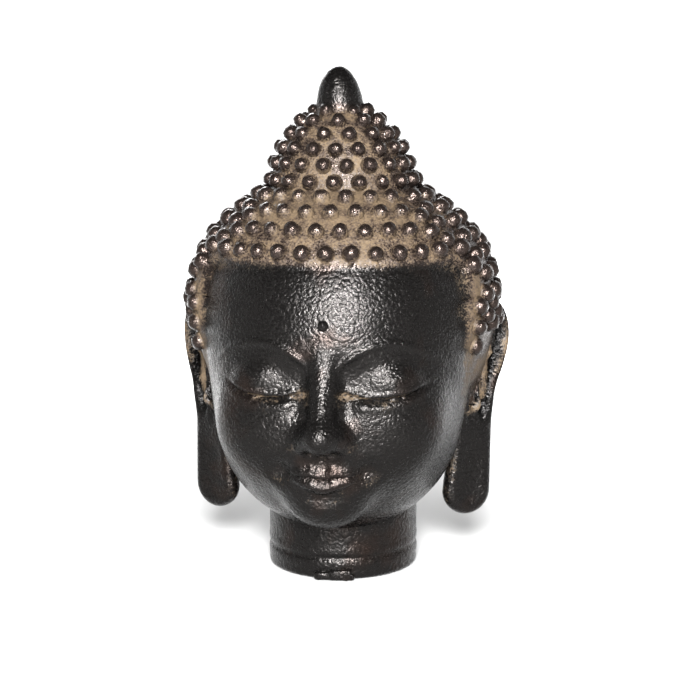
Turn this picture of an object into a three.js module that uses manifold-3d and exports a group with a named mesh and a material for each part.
// A cast iron head: one casting that stands on its own flat neck.
// Units are millimetres, Z is up and the face looks along -Y.
// The form is built like clay: ellipsoids and rods are blended and cut, and the solid's
// skin is found on that clay by walking inwards along rays from one inner point.
import * as THREE from 'three';
import { ConvexHull } from 'three/addons/math/ConvexHull.js';
import Module from 'manifold-3d';

// Driving sizes, each of which can be set by itself
const HEIGHT = 220; // from the flat underside to the tip of the finial
const NECK_HEIGHT = 18; // from the flat underside to the fold under the jaw
const HEAD_HEIGHT = HEIGHT - NECK_HEIGHT;
const NECK_RADIUS = 33; // half breadth of the neck
const NECK_DEPTH_SHARE = 1.06; // the neck is a little deeper than it is broad
const NECK_EDGE = 2; // rounding of the bottom edge
const STUB_WIDTH = 17; // the gate stub left by casting at the front of the neck
const STUB_HEIGHT = 4.6;
const STUB_PROUD = 1.8;
const CURL_RADIUS = 4.3; // one snail curl of hair
const KNOT_CURL_RADIUS = 3.9; // the curls of the topknot are a little smaller
const CURL_RISE = 4.4;
const CURL_PITCH_FRONT = 10.2; // from curl to curl over the brow
const CURL_PITCH_BACK = 10.2; // from curl to curl at the sides and back
const ROW_STEP = 10.7; // from row to row on the dome, measured along the hair
const KNOT_ROW_STEP = 7.5; // from row to row on the topknot
const NAPE_ROW_STEP = 10; // from row to row at the sides and back
const EAR_THICKNESS = 8.4;
const LEFT_EAR_OUT = 2; // the left ear stands out a little more than the right one
const BEAD_RADIUS = 2.3; // the bead between and above the brows

// The head's proportions, in parts; DESIGN_HEAD parts make up HEAD_HEIGHT and heights
// are counted from DESIGN_NECK parts below the fold under the jaw.
const DESIGN_HEAD = 202;
const DESIGN_NECK = 18;
const PART = HEAD_HEIGHT / DESIGN_HEAD;

// Every ball of clay: middle, half sizes and, where it leans, its turn about Y in degrees
const SKULL = { at: [0, 3, 117], half: [62.5, 66, 55] };
const FACE = { at: [0, -9, 91], half: [55.5, 59, 65], blend: 16 };
const JAW = { at: [0, -18, 62.5], half: [46, 44, 40], blend: 20 };
const CHEEK = { at: [24, -46, 73.5], half: [20, 17, 20.5], blend: 16 };
const CHIN = { at: [0, -56, 39.5], half: [14, 9, 10], blend: 10 };
const SOCKET = { at: [24.5, -73, 95.8], half: [20.5, 9.2, 12], turn: 7, blend: 3 };
const NOSE_ROOT = { at: [9.5, -72.5, 93], half: [5, 6.5, 14], turn: -12, blend: 4 };
const EYEBALL = { at: [24, -53, 93.7], half: [15, 12, 10.3], blend: 3 };
const NOSE_RIDGE = { from: [0, -62, 106], to: [0, -75.5, 74.6], thin: 3.8, thick: 5.4, blend: 6 };
const NOSE_TIP = { at: [0, -75.6, 72.2], half: [7, 7.2, 6.4], blend: 5 };
const NOSE_WING = { at: [7, -69.6, 70.6], half: [4.2, 5.6, 4.7], blend: 5.5 };
const NOSTRIL = { at: [4.4, -73.5, 65], half: [2.4, 4, 2.3], blend: 1.6 };
const MUZZLE = { at: [0, -57, 55.6], half: [19, 11, 14.5], blend: 12 };
const PHILTRUM = { from: [0, -72.6, 66], to: [0, -72.6, 61], thin: 1.5, thick: 1.8, blend: 2.4 };
const MOUTH_END = { at: [18.6, -67.6, 55.8], half: [3.2, 3, 3], blend: 7 };
const CHIN_FOLD = { at: [0, -71.8, 45], half: [9, 4.2, 2.8], blend: 5 };
const DOME = { at: [0, 4, 117], half: [67, 69.5, 56.5] };
const NAPE_HAIR = { at: [0, 14, 90], half: [60, 57, 60], blend: 14 };
const TOP_KNOT = { at: [0, 5, 156], half: [33, 33, 46.5] };
const FINIAL = { at: [0, 5, 199], half: [10.6, 10.6, 21], blend: 0.8 };

// Lines of the face: each is a curve z(x) on one side, in parts
const BROW = {
  middle: 27, top: 111, drop: 8.2, spread: 19, proud: 0.9, width: 2.5, from: 5, fadeIn: 4, to: 49, fadeOut: 6,
};
const LID = { middle: 24, reach: 15, low: 88, sag: 2.8, rise: 0.7 };
const LID_GROOVE = { below: 0.6, width: 1.7, depth: 1.15 };
const LID_EDGE = { above: 1.3, width: 2, proud: 0.55 };
const LOWER_LID = { below: 3.6, width: 3, proud: 0.4 };
const MOUTH = { line: 54, dip: 0.9, dipWidth: 5, lift: 1.6, liftPower: 2.5, reach: 17 };
const UPPER_LIP = { height: 5.4, bow: 0.24, bowWidth: 3.6, proud: 2.1 };
const LOWER_LIP = { height: 6.4, proud: 2.5 };
const BEAD_SEAT = { y: -62, level: 118 };
const LIP_SLIT = { width: 1.3, depth: 0.9 };
const FACE_FRONT = -30; // the lines are cut only in front of this plane

// Where the hair stops
const HAIRLINE = 139.5;
const CHIN_LEVEL = 28; // the face's thirds are counted between chin and hairline
const FACE_LENGTH = 115.5; // the distance in which the face's forms above are written
const HAIR_CORNER = 14;
const TEMPLE = { half: 53.5, level: 90, spread: 0.06, y: -2, slope: 0.35, blend: 12 };
const HAIR_STEP = 1.2;
const NAPE = { level: 42, blend: 6 };
const KNOT_LEAN = { from: 160, length: 60, shift: -2.6 };
const HAIR_SEAM = 0.8;

// The ear: a long leaf in its own upright plane; u runs outwards and back along the leaf
const EAR = {
  low: 33, span: 72, turnLow: 28, turnSpan: 26, rootX: 46.8, rootSpreadX: 7, rootY: -4, rootSpreadY: 2,
};
const EAR_TOP = { at: [12, 98], half: [15.5, 19] };
const EAR_LOBE = { top: [9, 84], end: [9.4, 33.4], thin: 9.8, thick: 11.2, blend: 14 };
const EAR_RIM = { at: -2.4, width: 2.8, proud: 1.6 };
const EAR_SLOT = { at: -7, width: 3, depth: 2.6 };
const EAR_RIDGE = { path: [[16.3, 101], [14.8, 90], [12.4, 80], [10, 71], [3.5, 66]], width: 3, proud: 1.5 };
const EAR_HOLLOW = { at: [6.4, 76], half: [4.4, 8], deepest: 3, gain: 1.3 };
const LOBE_DISH = { at: -9, width: 6.5, top: 60, fade: 12, depth: 0.8 };
const EAR_UPPER = { from: 66, fade: 10 };
const EAR_EDGE = 5;
const EAR_SOFT = 3;

// How finely the skin is cut into facets
const BASE_CENTRE = [0, 2, 102]; // the inner points, in parts, that see all of a skin
const KNOT_CENTRE = [-0.5, 5, 160];
const KNOT_LOW = 148; // the topknot's mesh reaches this deep into the dome
const KNOT_BURIED_SIDES = 16;
const FINIAL_RINGS = [ // height, number of points and radius, in parts
  [205, 10, 10], [209.5, 9, 8.8], [213.8, 8, 7], [217.4, 6, 4.2],
];
const REACH = 150; // the walk starts this far out
const STEPS = 90;
const STEP_SHARE = 0.7;
const NEAR = 0.004;
const SLOPE_STEP = 0.6;
const JAW_FOLD = 1.5; // fillet where the neck enters the jaw
const FACE_MESH = { fine: 4.1, coarse: 7.8, fineHalf: 37, fineLow: 43, fineHigh: 114 };
const LINE_STEP = 3;
const LINE_CLEAR = 2.1;
const CURL_SIDES = 5;
const CURL_SHOULDER = { radius: 0.7, rise: 0.72 };
const CURL_REACH = 0.8; // hair must lie this share of a curl's radius around its middle
const CROWDED = 1.75; // curls stand at least this many radii apart
const GAP_REACH = 1.25; // a gap lies between curls that are nearer than this many pitches
const GAP_CLEAR = 2.3;
const KNOT_FOOT = 166; // the crease between dome and topknot
const KNOT_TOP = 202; // curls stand up to the foot of the finial
const EAR_ROWS = 14;
const EAR_SIDES = 12;
const NECK_SIDES = 30;

// Small helpers for clay
const add = (a, b) => [a[0] + b[0], a[1] + b[1], a[2] + b[2]];
const sub = (a, b) => [a[0] - b[0], a[1] - b[1], a[2] - b[2]];
const times = (a, k) => [a[0] * k, a[1] * k, a[2] * k];
const dot = (a, b) => a[0] * b[0] + a[1] * b[1] + a[2] * b[2];
const size = (a) => Math.sqrt(dot(a, a));
const unit = (a) => times(a, 1 / size(a));
const cross = (a, b) => [a[1] * b[2] - a[2] * b[1], a[2] * b[0] - a[0] * b[2], a[0] * b[1] - a[1] * b[0]];
const clamp = (v, low, high) => Math.min(Math.max(v, low), high);
const radians = (degrees) => degrees * Math.PI / 180;

/** Distance to a ball of clay: length in half sizes, scaled back to parts. */
function ball(p, { at, half, turn = 0 }) {
  let [x, y, z] = sub(p, at);
  if (turn) {
    const c = Math.cos(radians(turn));
    const s = Math.sin(radians(turn));
    [x, z] = [c * x - s * z, s * x + c * z];
  }
  const near = Math.hypot(x / half[0], y / half[1], z / half[2]);
  const far = Math.hypot(x / half[0] ** 2, y / half[1] ** 2, z / half[2] ** 2);
  return near * (near - 1) / Math.max(far, 1e-9);
}

/** Distance to a rod between two points whose radius runs from thin to thick. */
function rod(p, { from, to, thin, thick }) {
  const along = sub(to, from);
  const t = clamp(dot(sub(p, from), along) / dot(along, along), 0, 1);
  return size(sub(sub(p, from), times(along, t))) - (thin + (thick - thin) * t);
}

/** The smaller of two distances, with a rounded fillet of the given breadth. */
function join(a, b, blend) {
  const h = Math.max(blend - Math.abs(a - b), 0) / blend;
  return Math.min(a, b) - h * h * blend / 4;
}
const cut = (a, b, blend) => -join(-a, b, blend); // takes b out of a
const overlap = (a, b, blend) => -join(-a, -b, blend);

const leanAt = (z) => clamp((z - KNOT_LEAN.from) / KNOT_LEAN.length, 0, 1) * KNOT_LEAN.shift;

/** A smooth hill of height 1 at the middle that ends at the given width. */
function hill(v, middle, width) {
  const t = Math.min(Math.abs(v - middle) / width, 1);
  return (1 - t * t) ** 2;
}

const browLine = (x) => BROW.top - BROW.drop * ((x - BROW.middle) / BROW.spread) ** 2;

function lidLine(x) {
  const t = clamp((x - LID.middle) / LID.reach, -1.2, 1.2);
  return LID.low + LID.sag * t * t + LID.rise * t;
}

function mouthLine(x) {
  const t = clamp(x / MOUTH.reach, 0, 1.2);
  return MOUTH.line - MOUTH.dip * hill(x, 0, MOUTH.dipWidth) + MOUTH.lift * t ** MOUTH.liftPower;
}

const upperLip = (x) => UPPER_LIP.height * (1 - clamp(x / MOUTH.reach, 0, 1) ** 2.2)
  * (1 - UPPER_LIP.bow * hill(x, 0, UPPER_LIP.bowWidth));
const lowerLip = (x) => LOWER_LIP.height * (1 - clamp(x / MOUTH.reach * 1.12, 0, 1) ** 2);

/** Height of the lids, brows and lips above the plain face, from their curves. */
function faceLines(x, z) {
  const eyeEnd = clamp((1.3 - Math.abs((x - LID.middle) / LID.reach)) * 3, 0, 1);
  const lid = lidLine(x);
  let rise = -LID_GROOVE.depth * hill(z, lid - LID_GROOVE.below, LID_GROOVE.width);
  rise += LID_EDGE.proud * hill(z, lid + LID_EDGE.above, LID_EDGE.width);
  rise += LOWER_LID.proud * hill(z, lid - LOWER_LID.below, LOWER_LID.width);
  rise *= eyeEnd;
  const browIn = clamp((x - BROW.from) / BROW.fadeIn, 0, 1);
  const browOut = clamp((BROW.to - x) / BROW.fadeOut, 0, 1);
  rise += BROW.proud * browIn * browOut * hill(z, browLine(x), BROW.width);
  const mouthEnd = clamp((1.05 - x / MOUTH.reach) * 8, 0, 1);
  const line = mouthLine(x);
  const up = (z - line) / Math.max(upperLip(x), 0.05);
  const down = (line - z) / Math.max(lowerLip(x), 0.05);
  const swell = (t) => (t > 0 && t < 1 ? (4 * t * (1 - t)) ** 0.6 : 0);
  rise += mouthEnd * UPPER_LIP.proud * swell(up) * upperLip(x) / UPPER_LIP.height;
  rise += mouthEnd * LOWER_LIP.proud * swell(down) * lowerLip(x) / LOWER_LIP.height;
  return rise - mouthEnd * LIP_SLIT.depth * hill(z, line, LIP_SLIT.width);
}

const FACE_SHARE = (HAIRLINE - CHIN_LEVEL) / FACE_LENGTH;
const toFaceLevel = (z) => CHIN_LEVEL + (z - CHIN_LEVEL) / FACE_SHARE;
const fromFaceLevel = (z) => CHIN_LEVEL + (z - CHIN_LEVEL) * FACE_SHARE;

/** The skull and face without hair, ears and neck, in parts. */
function headClay([x0, y, z]) {
  const x = Math.abs(x0);
  const p = [x, y, toFaceLevel(z)];
  let d = ball([x, y, z], SKULL);
  for (const form of [FACE, JAW, CHEEK, CHIN]) d = join(d, ball(p, form), form.blend);
  for (const form of [SOCKET, NOSE_ROOT]) d = cut(d, ball(p, form), form.blend);
  d = join(d, ball(p, EYEBALL), EYEBALL.blend);
  d = join(d, rod(p, NOSE_RIDGE), NOSE_RIDGE.blend);
  for (const form of [NOSE_TIP, NOSE_WING]) d = join(d, ball(p, form), form.blend);
  d = cut(d, ball(p, NOSTRIL), NOSTRIL.blend);
  d = join(d, ball(p, MUZZLE), MUZZLE.blend);
  d = cut(d, rod(p, PHILTRUM), PHILTRUM.blend);
  for (const form of [MOUTH_END, CHIN_FOLD]) d = cut(d, ball(p, form), form.blend);
  return y < FACE_FRONT ? d - faceLines(x, p[2]) : d;
}

/** The bare ground under the curls of dome, sides and back, in parts. */
function domeClay([x0, y, z]) {
  const p = [Math.abs(x0), y, z];
  const side = p[0] - TEMPLE.half - TEMPLE.spread * (z - TEMPLE.level);
  const brow = overlap(z - HAIRLINE, side, HAIR_CORNER);
  const window = overlap(brow, y - TEMPLE.y + TEMPLE.slope * (HAIRLINE - z), TEMPLE.blend);
  const hair = join(ball(p, DOME), ball(p, NAPE_HAIR), NAPE_HAIR.blend);
  return overlap(cut(hair, window, HAIR_STEP), NAPE.level - z, NAPE.blend);
}

/** The topknot and its finial, which lean a little to one side, in parts. */
function knotClay([x, y, z]) {
  const shift = leanAt(z);
  return join(ball([x - shift, y, z], TOP_KNOT), ball([x - shift, y, z], FINIAL), FINIAL.blend);
}

/** The neck, in millimetres: an upright oval with a rounded bottom edge. */
function neckClay([x, y, z]) {
  const below = Math.max(NECK_EDGE - z, 0);
  const edge = NECK_EDGE - Math.sqrt(Math.max(NECK_EDGE ** 2 - below ** 2, 0));
  return Math.max(Math.hypot(x, y / NECK_DEPTH_SHARE) - NECK_RADIUS + edge, z - NECK_HEIGHT * 2);
}

/** From millimetres to parts and back. */
const toParts = (p) => [p[0] / PART, p[1] / PART, (p[2] - NECK_HEIGHT) / PART + DESIGN_NECK];
const toMm = (p) => [p[0] * PART, p[1] * PART, (p[2] - DESIGN_NECK) * PART + NECK_HEIGHT];

/** Clay of the head up to the dome, in millimetres, with its flat underside. */
function baseClay(p) {
  const q = toParts(p);
  const head = join(headClay(q), domeClay(q), HAIR_SEAM) * PART;
  return Math.max(join(head, neckClay(p), JAW_FOLD), -p[2]);
}

/** Clay of the topknot and the finial, in millimetres; its foot is buried in the dome. */
function knotTopClay(p) {
  return knotClay(toParts(p)) * PART;
}

/** A skin: points found on one clay by walking inwards towards one inner point. */
class Skin {
  constructor(clay, centre) {
    this.clay = clay;
    this.centre = toMm(centre);
    this.points = [];
  }

  /** The skin's point along a direction. */
  along(direction) {
    let r = REACH * PART;
    for (let i = 0; i < STEPS; i += 1) {
      const d = this.clay(add(this.centre, times(direction, r)));
      r -= d * STEP_SHARE;
      if (Math.abs(d) < NEAR) break;
    }
    return add(this.centre, times(direction, r));
  }

  /** The skin's point at an azimuth, which is 0 towards -Y, and an elevation. */
  facing(azimuth, elevation) {
    const flat = Math.cos(elevation);
    return this.along([Math.sin(azimuth) * flat, -Math.cos(azimuth) * flat, Math.sin(elevation)]);
  }

  /** The skin's point on the ray through a point. */
  behind(p) {
    return this.along(unit(sub(p, this.centre)));
  }

  /** The skin's point at an azimuth and a height, by halving the range of elevations. */
  atLevel(azimuth, z) {
    let low = -1.3;
    let high = 1.56;
    for (let i = 0; i < 26; i += 1) {
      const middle = (low + high) / 2;
      if (this.facing(azimuth, middle)[2] < z) low = middle;
      else high = middle;
    }
    return this.facing(azimuth, low);
  }

  /** The outward normal, from the clay's slope. */
  normalAt(p) {
    return unit([0, 1, 2].map((k) => {
      const step = [0, 0, 0];
      step[k] = SLOPE_STEP;
      return this.clay(add(p, step)) - this.clay(sub(p, step));
    }));
  }

  keep(p) {
    this.points.push(p);
  }

  keepIfFree(p, clear) {
    if (this.points.every((q) => size(sub(p, q)) > clear)) this.keep(p);
  }

  /** The facets: the hull of all directions from the inner point, carried out to the skin. */
  mesh() {
    const home = new Map();
    const directions = this.points.map((p, i) => {
      const direction = new THREE.Vector3(...unit(sub(p, this.centre)));
      home.set(direction, i);
      return direction;
    });
    const hull = new ConvexHull().setFromPoints(directions);
    const faces = hull.faces.map(({ edge }) => {
      const corners = [edge, edge.next, edge.next.next];
      return corners.map((corner) => home.get(corner.head().point));
    });
    return { points: this.points, faces };
  }
}

const base = new Skin(baseClay, BASE_CENTRE);
const knot = new Skin(knotTopClay, KNOT_CENTRE);

/** True where the hair lies on top at a point and for one curl's breadth around it. */
function isHair(p) {
  const n = base.normalAt(p);
  const side = unit(cross([0, 0, 1], n));
  const down = cross(side, n);
  const reach = CURL_RADIUS * CURL_REACH;
  return [[0, 0], [1, 0], [-1, 0], [0, 1], [0, -1]].every(([i, j]) => {
    const near = add(p, add(times(side, i * reach), times(down, j * reach)));
    const q = toParts(base.behind(near));
    return domeClay(q) < headClay(q) - HAIR_SEAM / 2 && q[2] > NAPE.level + NAPE.blend / 2;
  });
}

/** The ear's own axes at a height, in parts. */
function earFrame(z) {
  const share = clamp((z - EAR.low) / EAR.span, 0, 1);
  const turn = radians(EAR.turnLow + EAR.turnSpan * share);
  return {
    root: [EAR.rootX + EAR.rootSpreadX * share, EAR.rootY + EAR.rootSpreadY * share],
    out: [Math.cos(turn), Math.sin(turn)],
    front: [Math.sin(turn), -Math.cos(turn)],
  };
}

const oval = (u, z, { at, half }) => ball([u, z, 0], { at: [...at, 0], half: [...half, 1] });
const bar = (u, z, a, b, thin, thick) => rod([u, z, 0], { from: [...a, 0], to: [...b, 0], thin, thick });

/** Distance to the ear's outline in its own plane. */
function earOutline(u, z) {
  const lobe = bar(u, z, EAR_LOBE.top, EAR_LOBE.end, EAR_LOBE.thin, EAR_LOBE.thick);
  return join(oval(u, z, EAR_TOP), lobe, EAR_LOBE.blend);
}

/** Relief of the ear's front: rim, slot, curved ridge, hollow and the dished lobe. */
function earRelief(u, z, outline) {
  const upper = clamp((z - EAR_UPPER.from) / EAR_UPPER.fade, 0, 1);
  let rise = EAR_RIM.proud * upper * hill(outline, EAR_RIM.at, EAR_RIM.width);
  rise -= EAR_SLOT.depth * upper * hill(outline, EAR_SLOT.at, EAR_SLOT.width);
  const path = EAR_RIDGE.path;
  const legs = path.slice(1).map((end, i) => bar(u, z, path[i], end, 0, 0));
  rise += EAR_RIDGE.proud * hill(Math.min(...legs), 0, EAR_RIDGE.width);
  rise -= clamp(-oval(u, z, EAR_HOLLOW), 0, EAR_HOLLOW.deepest) * EAR_HOLLOW.gain;
  const low = clamp((LOBE_DISH.top - z) / LOBE_DISH.fade, 0, 1);
  return rise - LOBE_DISH.depth * low * hill(outline, LOBE_DISH.at, LOBE_DISH.width);
}

function earClay([x, y, z]) {
  const { root, out, front } = earFrame(z);
  const u = (x - root[0]) * out[0] + (y - root[1]) * out[1];
  const w = (x - root[0]) * front[0] + (y - root[1]) * front[1];
  const outline = earOutline(u, z);
  const half = EAR_THICKNESS / PART / 2;
  const slab = overlap(w - half - earRelief(u, z, outline), -w - half, EAR_SOFT);
  return overlap(outline, slab, EAR_EDGE);
}

/** One ear as a closed mesh: rows of points around an upright spine, closed at both ends. */
function earMesh(side) {
  const top = EAR_TOP.at[1] + EAR_TOP.half[1];
  const bottom = EAR_LOBE.end[1] - EAR_LOBE.thick;
  const points = [];
  for (let row = 1; row < EAR_ROWS; row += 1) {
    const t = (1 - Math.cos(Math.PI * row / EAR_ROWS)) / 2;
    const z = bottom + (top - bottom) * t;
    const { root, out, front } = earFrame(z);
    const middle = EAR_LOBE.end[0] + (EAR_TOP.at[0] - EAR_LOBE.end[0]) * t;
    for (let k = 0; k < EAR_SIDES; k += 1) {
      const a = 2 * Math.PI * (k + 0.5) / EAR_SIDES;
      const heading = [0, 1].map((i) => out[i] * Math.cos(a) * 1.4 + front[i] * Math.sin(a));
      const spine = [0, 1].map((i) => root[i] + out[i] * middle);
      let r = 30;
      for (let i = 0; i < STEPS; i += 1) {
        r -= earClay([spine[0] + heading[0] * r, spine[1] + heading[1] * r, z]) * 0.5;
        r = Math.max(r, 0.3);
      }
      points.push([spine[0] + heading[0] * r, spine[1] + heading[1] * r, z]);
    }
  }
  const ends = [bottom, top].map((z) => {
    const { root, out } = earFrame(z);
    const middle = z === top ? EAR_TOP.at[0] : EAR_LOBE.end[0];
    return [root[0] + out[0] * middle, root[1] + out[1] * middle, z];
  });
  const faces = [];
  const at = (row, k) => row * EAR_SIDES + (k % EAR_SIDES);
  const last = EAR_ROWS - 2;
  for (let k = 0; k < EAR_SIDES; k += 1) {
    for (let row = 0; row < last; row += 1) {
      faces.push([at(row, k), at(row + 1, k), at(row, k + 1)]);
      faces.push([at(row, k + 1), at(row + 1, k), at(row + 1, k + 1)]);
    }
    faces.push([points.length, at(0, k), at(0, k + 1)]);
    faces.push([points.length + 1, at(last, k + 1), at(last, k)]);
  }
  const out = side > 0 ? 0 : LEFT_EAR_OUT;
  const placed = [...points, ...ends].map((p) => add(toMm([p[0] * side, p[1], p[2]]), [side * out, 0, 0]));
  return { points: placed, faces: side > 0 ? faces : faces.map(([a, b, c]) => [a, c, b]) };
}

/** Heights of rows of curls on a skin, one step apart along the middle of the front. */
function rowsUp(skin, from, upTo, step) {
  const heights = [from];
  const small = 0.25;
  let previous = skin.atLevel(0, from);
  let walked = 0;
  for (let z = from + small; z < upTo; z += small) {
    const here = skin.atLevel(0, z);
    walked += size(sub(here, previous));
    previous = here;
    if (walked >= step) {
      heights.push(z);
      walked = 0;
    }
  }
  return heights;
}

/** Azimuths along half a level ring, from a start to the back, one pitch apart. */
function placesOnLevel(skin, z, start, offset) {
  const count = 90;
  const azimuth = (i) => start + (Math.PI - start) * i / count;
  const along = [0];
  let previous = skin.atLevel(start, z);
  for (let i = 1; i <= count; i += 1) {
    const here = skin.atLevel(azimuth(i), z);
    along.push(along[i - 1] + size(sub(here, previous)));
    previous = here;
  }
  const pitch = (CURL_PITCH_FRONT + CURL_PITCH_BACK) / 2;
  const places = Math.max(Math.round(along[count] / pitch), 1);
  const found = [];
  for (let k = 0; k < places + (offset ? 0 : 1); k += 1) {
    const t = (k + (offset ? 0.5 : 0)) / places;
    // the pitch eases from the wide one in front to the close one at the back
    const ease = t + (t - t * t) * (CURL_PITCH_FRONT - CURL_PITCH_BACK) / (2 * pitch);
    const wanted = ease * along[count];
    const i = Math.max(along.findIndex((a) => a >= wanted - 1e-9), 1);
    found.push(azimuth(i - 1 + (wanted - along[i - 1]) / (along[i] - along[i - 1])));
  }
  return found;
}

const curls = [];
const radiusOn = (skin) => (skin === knot ? KNOT_CURL_RADIUS : CURL_RADIUS);

/** One curl: a blunt knob that stands on the ground along the skin's normal. */
function placeCurl(skin, ground) {
  const normal = skin.normalAt(ground);
  const side = unit(cross([0, 0, 1], normal));
  const up = cross(normal, side);
  const r = radiusOn(skin) * CURL_SHOULDER.radius;
  skin.keep(add(ground, times(normal, CURL_RISE)));
  for (let k = 0; k < CURL_SIDES; k += 1) {
    const a = 2 * Math.PI * k / CURL_SIDES + Math.PI / 2;
    const foot = add(ground, add(times(side, Math.cos(a) * r), times(up, Math.sin(a) * r)));
    skin.keep(add(skin.behind(foot), times(normal, CURL_RISE * CURL_SHOULDER.rise)));
  }
  curls.push({ skin, ground });
}

/** Curls on both sides of one ring, except where an ear stands. */
function layRing(skin, z, places) {
  for (const azimuth of places) {
    const single = azimuth < 1e-6 || azimuth > Math.PI - 1e-6;
    for (const side of single ? [1] : [1, -1]) {
      const ground = skin.atLevel(azimuth * side, z);
      const [x, y, level] = toParts(ground);
      const isFree = earClay([Math.abs(x), y, level]) > CURL_RADIUS / 2;
      const crowded = curls.some((c) => size(sub(c.ground, ground)) < radiusOn(skin) * CROWDED);
      if (isFree && !crowded) placeCurl(skin, ground);
    }
  }
}

/** The rows of curls: rings on dome and topknot, and part rings behind the temples. */
function layCurls() {
  const level = (z) => toMm([0, 0, z])[2];
  const first = level(HAIRLINE) + CURL_RADIUS;
  const domeRows = rowsUp(base, first, level(KNOT_FOOT), ROW_STEP);
  const knotRows = rowsUp(knot, level(KNOT_FOOT) + CURL_RADIUS, level(KNOT_TOP), KNOT_ROW_STEP);
  domeRows.forEach((z, row) => layRing(base, z, placesOnLevel(base, z, 0, row % 2 === 1)));
  knotRows.forEach((z, row) => layRing(knot, z, placesOnLevel(knot, z, 0, row % 2 === 1)));
  for (let z = first - NAPE_ROW_STEP; z > level(NAPE.level) + CURL_RADIUS; z -= NAPE_ROW_STEP) {
    let start = 0;
    while (start < 3 && !isHair(base.atLevel(start, z))) start += 0.03;
    layRing(base, z, placesOnLevel(base, z, start, false));
  }
}

/** Ground points midway between neighbouring curls keep the gaps between them open. */
function layGaps() {
  const gaps = [];
  curls.forEach((a, i) => {
    for (const b of curls.slice(i + 1)) {
      if (a.skin !== b.skin || size(sub(a.ground, b.ground)) > CURL_PITCH_FRONT * GAP_REACH) continue;
      gaps.push([a.skin, a.skin.behind(times(add(a.ground, b.ground), 0.5))]);
    }
  });
  for (const [skin, gap] of gaps) skin.keepIfFree(gap, GAP_CLEAR);
}

/** Points along the lines of the face, given in parts as pairs x and z. */
function faceLinePoints() {
  const points = [];
  const trace = (from, to, curve) => {
    const count = Math.ceil((to - from) / LINE_STEP);
    for (let i = 0; i <= count; i += 1) {
      const x = from + (to - from) * i / count;
      points.push([x, curve(x)]);
    }
  };
  const eye = [LID.middle - LID.reach, LID.middle + LID.reach * 1.2];
  const brow = [BROW.from + BROW.fadeIn / 2, BROW.to - BROW.fadeOut / 3];
  trace(...brow, browLine);
  trace(brow[0] + 1, brow[1] - 1, (x) => browLine(x) - BROW.width * 1.3);
  trace(...eye, (x) => lidLine(x) + LID_EDGE.above);
  trace(...eye, (x) => lidLine(x) - LID_GROOVE.below);
  trace(eye[0] + 2, eye[1] - 3, (x) => lidLine(x) - LOWER_LID.below);
  trace(0, MOUTH.reach, mouthLine);
  trace(0, MOUTH.reach * 0.85, (x) => mouthLine(x) + upperLip(x) * 0.5);
  trace(0, MOUTH.reach * 0.95, (x) => mouthLine(x) + upperLip(x) + 0.4);
  trace(0, MOUTH.reach * 0.75, (x) => mouthLine(x) - lowerLip(x) * 0.5);
  trace(0, MOUTH.reach * 0.85, (x) => mouthLine(x) - lowerLip(x) - 0.4);
  const [tipX, , tipZ] = NOSE_TIP.at;
  const [wingX, , wingZ] = NOSE_WING.at;
  for (let z = NOSE_RIDGE.from[2]; z > tipZ; z -= LINE_STEP * 1.2) {
    points.push([0, z], [NOSE_RIDGE.thin, z], [wingX, z]);
  }
  points.push([tipX, tipZ - 3.3], [tipX, tipZ - 6.4], [NOSTRIL.at[0], wingZ - 3]);
  points.push([NOSTRIL.at[0], wingZ - 5.6], [wingX + 0.6, wingZ + 4.5], [wingX + 1.2, wingZ - 0.5]);
  points.push([wingX + 1, wingZ - 4.6], [wingX + 4.6, wingZ], [wingX + 4.8, wingZ - 4]);
  return points;
}

/** The face: points along its lines first, then a lattice, finer around the features. */
function layFace() {
  for (const [x, level] of faceLinePoints()) {
    const z = fromFaceLevel(level);
    for (const side of x > 0.01 ? [1, -1] : [1]) {
      let y = -REACH;
      for (let i = 0; i < STEPS; i += 1) y += headClay([x, y, z]) * STEP_SHARE;
      base.keepIfFree(base.behind(toMm([x * side, y, z])), 1.5);
    }
  }
  const isFine = (x, z) => x < FACE_MESH.fineHalf && z > FACE_MESH.fineLow && z < FACE_MESH.fineHigh;
  const lattice = (pitch, inside) => {
    for (let row = 0; CHIN.at[2] - 12 + row * pitch * 0.87 < HAIRLINE + 1; row += 1) {
      const z = CHIN.at[2] - 12 + row * pitch * 0.87;
      for (let i = -20; i <= 20; i += 1) {
        const x = (i + (row % 2) * 0.5) * pitch;
        if (Math.abs(x) > FACE.half[0] || !inside(Math.abs(x), z)) continue;
        const front = -Math.sqrt(SKULL.half[1] ** 2 - x * x);
        const p = base.behind(toMm([x, front, z]));
        const q = toParts(p);
        const bare = q[2] < HAIRLINE - 0.5 && headClay(q) < domeClay(q);
        if (bare) base.keepIfFree(p, pitch * 0.62);
      }
    }
  };
  lattice(FACE_MESH.fine, isFine);
  lattice(FACE_MESH.coarse, (x, z) => !isFine(x, z));
}

/** The edge of the hair: one row of points on its step and one on the skin below. */
function layHairline() {
  const isHairy = (p) => domeClay(toParts(p)) < headClay(toParts(p));
  const count = 64;
  for (let i = 0; i <= count; i += 1) {
    const azimuth = (i / count - 0.5) * 3.5;
    let low = -0.9;
    let high = 0.9;
    if (isHairy(base.facing(azimuth, low))) continue;
    for (let k = 0; k < 20; k += 1) {
      const middle = (low + high) / 2;
      if (isHairy(base.facing(azimuth, middle))) high = middle;
      else low = middle;
    }
    base.keepIfFree(base.facing(azimuth, low - 0.006), 0.5);
    base.keepIfFree(base.facing(azimuth, high + 0.012), 0.5);
  }
}

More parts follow.
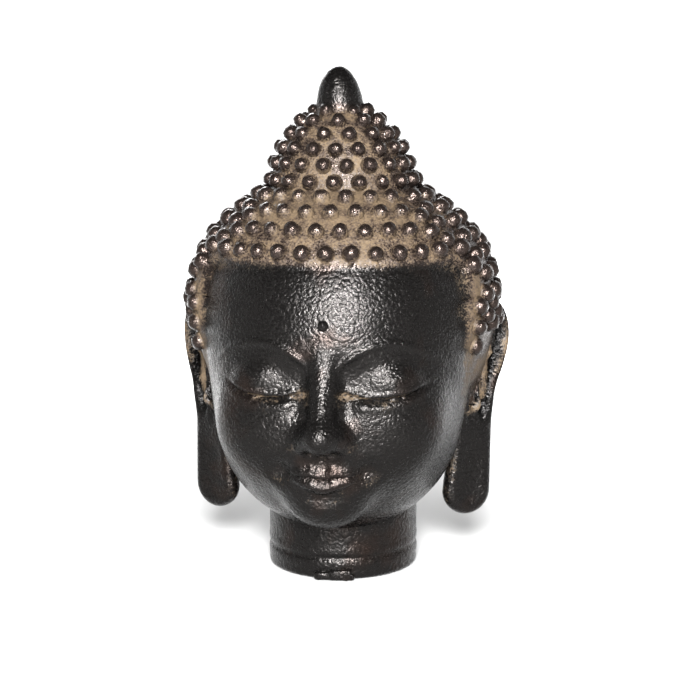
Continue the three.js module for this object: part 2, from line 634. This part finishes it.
/** Rings of points around the finial and inside the dome, where the topknot's mesh ends. */
function layKnot() {
  const [, middleY] = FINIAL.at;
  FINIAL_RINGS.forEach(([z, count, r], row) => {
    for (let k = 0; k < count; k += 1) {
      const a = 2 * Math.PI * (k + (row % 2) / 2) / count;
      const p = [leanAt(z) + Math.cos(a) * r, middleY + Math.sin(a) * r, z];
      knot.keepIfFree(knot.behind(toMm(p)), 1.8);
    }
  });
  const tip = DESIGN_HEAD + DESIGN_NECK;
  knot.keep(knot.behind(toMm([leanAt(tip), middleY, tip])));
  for (const z of [KNOT_FOOT - 4, KNOT_LOW]) {
    const level = toMm([0, 0, z])[2];
    for (let k = 0; k < KNOT_BURIED_SIDES; k += 1) {
      knot.keepIfFree(knot.atLevel(2 * Math.PI * k / KNOT_BURIED_SIDES, level), 3);
    }
  }
  knot.keep(toMm([0, middleY, KNOT_LOW]));
}

/** The neck's bottom edge as aligned rings, then the fold and the underside of the jaw. */
function layNeck() {
  const rings = [[0, NECK_EDGE], [NECK_EDGE * 0.3, 0], [NECK_EDGE, 0], [NECK_HEIGHT * 0.55, 0]];
  for (const [z, inset] of rings) {
    for (let k = 0; k < NECK_SIDES; k += 1) {
      const a = 2 * Math.PI * k / NECK_SIDES;
      const r = NECK_RADIUS - inset;
      const p = [Math.cos(a) * r, Math.sin(a) * r * NECK_DEPTH_SHARE, z];
      base.keep(z === 0 ? p : base.behind(p));
    }
  }
  for (let elevation = -1.21; elevation < -0.3; elevation += 0.06) {
    const row = Math.round(elevation * 100) % 2;
    for (let k = 0; k < 36; k += 1) {
      const p = base.facing(2 * Math.PI * (k + row / 2) / 36, elevation);
      if (p[2] > NECK_HEIGHT * 0.55 + 3) base.keepIfFree(p, 4.8);
    }
  }
}

/** Plain ground wherever nothing else has been laid. */
function layGround() {
  for (const skin of [base, knot]) {
    for (let row = 0; row < 22; row += 1) {
      const elevation = -0.95 + row * 0.1;
      const count = Math.max(Math.round(52 * Math.cos(elevation)), 6);
      for (let k = 0; k < count; k += 1) {
        const p = skin.facing(2 * Math.PI * (k + (row % 2) / 2) / count, elevation);
        const buried = skin === base ? knotTopClay(p) < -3 : p[2] < toMm([0, 0, KNOT_FOOT])[2];
        if (!buried) skin.keepIfFree(p, 5.6);
      }
    }
  }
}

/** A bead or the gate stub: a rounded ball of clay as a coarse closed mesh. */
function roundMesh(middle, half, rows, sides, boxy) {
  const points = [[middle[0], middle[1], middle[2] - half[2]], [middle[0], middle[1], middle[2] + half[2]]];
  const shape = (v) => Math.sign(v) * Math.abs(v) ** boxy;
  for (let row = 1; row < rows; row += 1) {
    const e = Math.PI * (row / rows - 0.5);
    for (let k = 0; k < sides; k += 1) {
      const a = 2 * Math.PI * (k + 0.5) / sides;
      points.push([
        middle[0] + half[0] * shape(Math.cos(e)) * shape(Math.cos(a)),
        middle[1] + half[1] * shape(Math.cos(e)) * shape(Math.sin(a)),
        middle[2] + half[2] * shape(Math.sin(e)),
      ]);
    }
  }
  const at = (row, k) => 2 + row * sides + (k % sides);
  const faces = [];
  for (let k = 0; k < sides; k += 1) {
    faces.push([0, at(0, k + 1), at(0, k)], [1, at(rows - 2, k), at(rows - 2, k + 1)]);
    for (let row = 0; row < rows - 2; row += 1) {
      faces.push([at(row, k), at(row, k + 1), at(row + 1, k)]);
      faces.push([at(row, k + 1), at(row + 1, k + 1), at(row + 1, k)]);
    }
  }
  return { points, faces };
}

layFace();
layHairline();
layCurls();
layGaps();
layKnot();
layNeck();
layGround();
base.keep(base.along([0, 0, 1]));

const wasm = await Module();
wasm.setup();

function toManifold({ points, faces }) {
  const mesh = new wasm.Mesh({
    numProp: 3,
    vertProperties: new Float32Array(points.flat()),
    triVerts: new Uint32Array(faces.flat()),
  });
  return new wasm.Manifold(mesh);
}

const beadSeat = base.behind(toMm([0, BEAD_SEAT.y, fromFaceLevel(BEAD_SEAT.level)]));
const bead = roundMesh(beadSeat, [BEAD_RADIUS, BEAD_RADIUS, BEAD_RADIUS], 4, 8, 1);
const stubMiddle = [0, -NECK_RADIUS * NECK_DEPTH_SHARE, STUB_HEIGHT / 2];
const stubHalf = [STUB_WIDTH / 2, STUB_PROUD, STUB_HEIGHT / 2];
const stub = roundMesh(stubMiddle, stubHalf, 4, 12, 0.5);

let solid = toManifold(base.mesh());
for (const piece of [knot.mesh(), earMesh(1), earMesh(-1), bead, stub]) solid = solid.add(toManifold(piece));

/** The finished solid as a three.js geometry. */
function toGeometry(manifold) {
  const mesh = manifold.getMesh();
  const geometry = new THREE.BufferGeometry();
  geometry.setAttribute('position', new THREE.BufferAttribute(Float32Array.from(mesh.vertProperties), 3));
  geometry.setIndex(new THREE.BufferAttribute(Uint32Array.from(mesh.triVerts), 1));
  geometry.computeVertexNormals();
  return geometry;
}

const iron = new THREE.MeshStandardMaterial({ color: 0x2a2624, roughness: 0.42, metalness: 0.85 });
const head = new THREE.Mesh(toGeometry(solid), iron);
head.name = 'iron_head';

const group = new THREE.Group();
group.name = 'cast_iron_head';
group.add(head);

export default group;
